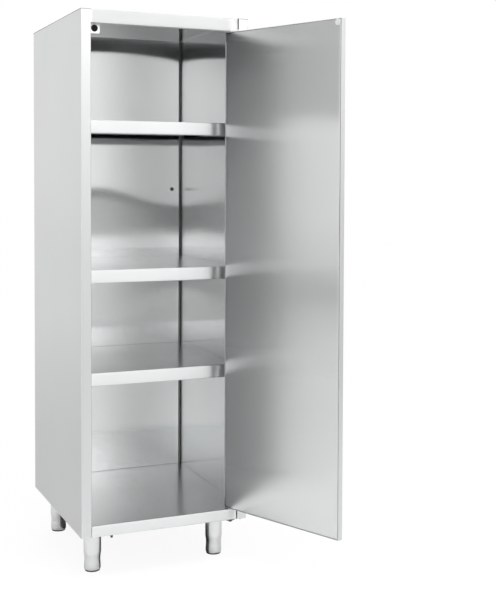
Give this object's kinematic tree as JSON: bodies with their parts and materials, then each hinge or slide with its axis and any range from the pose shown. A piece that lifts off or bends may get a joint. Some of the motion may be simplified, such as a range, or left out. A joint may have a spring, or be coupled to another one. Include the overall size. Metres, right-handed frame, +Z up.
{
  "type": "upright stainless steel cabinet",
  "caption": "Tall upright catering cabinet of folded stainless steel sheet with a hinged door standing open, lift-out shelves and round legs with screw feet.",
  "frame": {"origin": "on the ground, under the middle of the bounding box with the door open as in the picture", "axes": "+Z up, +Y from the front to the back, +X to the hinge side, to the right as seen from the front"},
  "size_m": [0.7453, 1.151, 1.92],
  "materials": {
    "steel": "fine brushed stainless sheet, bright and slightly wavy",
    "inner_steel": "plain mill finish stainless",
    "magnet": "black magnet in a moulded case",
    "bush": "off-white nylon",
    "pad": "dark grey plastic sole"
  },
  "bodies": {
    "cabinet": {"left_side": "steel", "right_side": "steel", "back_panel": "steel", "roof_panel": "steel", "floor_panel": "steel", "floor_channel_left": "inner_steel", "floor_channel_right": "inner_steel", "leg_plate_front_left": "inner_steel", "leg_plate_front_right": "inner_steel", "leg_plate_rear_left": "inner_steel", "leg_plate_rear_right": "inner_steel", "leg_tube_front_left": "steel", "leg_tube_front_right": "steel", "leg_tube_rear_left": "steel", "leg_tube_rear_right": "steel", "leg_insert_front_left": "inner_steel", "leg_insert_front_right": "inner_steel", "leg_insert_rear_left": "inner_steel", "leg_insert_rear_right": "inner_steel", "runner_lower_left": "inner_steel", "runner_lower_right": "inner_steel", "runner_middle_left": "inner_steel", "runner_middle_right": "inner_steel", "runner_upper_left": "inner_steel", "runner_upper_right": "inner_steel", "top_pivot_plate": "inner_steel", "top_pivot_bush": "bush", "bottom_pivot_plate": "inner_steel", "bottom_pivot_bush": "bush", "catch_plate": "steel", "magnet": "magnet", "catch_screw_a": "steel", "catch_screw_b": "steel"},
    "door": {"door_outer_skin": "steel", "door_inner_skin": "steel", "door_stiffener": "inner_steel", "top_pin_block": "inner_steel", "top_pin": "inner_steel", "bottom_pin_block": "inner_steel", "bottom_pin": "inner_steel", "striker_plate": "steel", "grip": "steel", "grip_screw_a": "steel", "grip_screw_b": "steel"},
    "shelf_lower": {"shelf_lower": "steel", "shelf_lower_stiffener": "inner_steel"},
    "shelf_middle": {"shelf_middle": "steel", "shelf_middle_stiffener": "inner_steel"},
    "shelf_upper": {"shelf_upper": "steel", "shelf_upper_stiffener": "inner_steel"},
    "foot_front_left": {"foot_front_left": "steel", "foot_pad_front_left": "pad"},
    "foot_front_right": {"foot_front_right": "steel", "foot_pad_front_right": "pad"},
    "foot_rear_left": {"foot_rear_left": "steel", "foot_pad_rear_left": "pad"},
    "foot_rear_right": {"foot_rear_right": "steel", "foot_pad_rear_right": "pad"}
  },
  "joints": [
    {"name": "door_hinge", "type": "hinge", "parent": "cabinet", "child": "door", "pos_m": [0.16876, -0.10448, 1], "axis": [0, 0, 1], "range_deg": [-112, 15]},
    {"name": "shelf_lower_lift", "type": "slide", "parent": "cabinet", "child": "shelf_lower", "axis": [0, 0, 1], "range_m": [0, 0.03]},
    {"name": "shelf_middle_lift", "type": "slide", "parent": "cabinet", "child": "shelf_middle", "axis": [0, 0, 1], "range_m": [0, 0.03]},
    {"name": "shelf_upper_lift", "type": "slide", "parent": "cabinet", "child": "shelf_upper", "axis": [0, 0, 1], "range_m": [0, 0.03]},
    {"name": "foot_front_left_screw", "type": "slide", "parent": "cabinet", "child": "foot_front_left", "axis": [0, 0, -1], "range_m": [0, 0.025]},
    {"name": "foot_front_right_screw", "type": "slide", "parent": "cabinet", "child": "foot_front_right", "axis": [0, 0, -1], "range_m": [0, 0.025]},
    {"name": "foot_rear_left_screw", "type": "slide", "parent": "cabinet", "child": "foot_rear_left", "axis": [0, 0, -1], "range_m": [0, 0.025]},
    {"name": "foot_rear_right_screw", "type": "slide", "parent": "cabinet", "child": "foot_rear_right", "axis": [0, 0, -1], "range_m": [0, 0.025]}
  ]
}
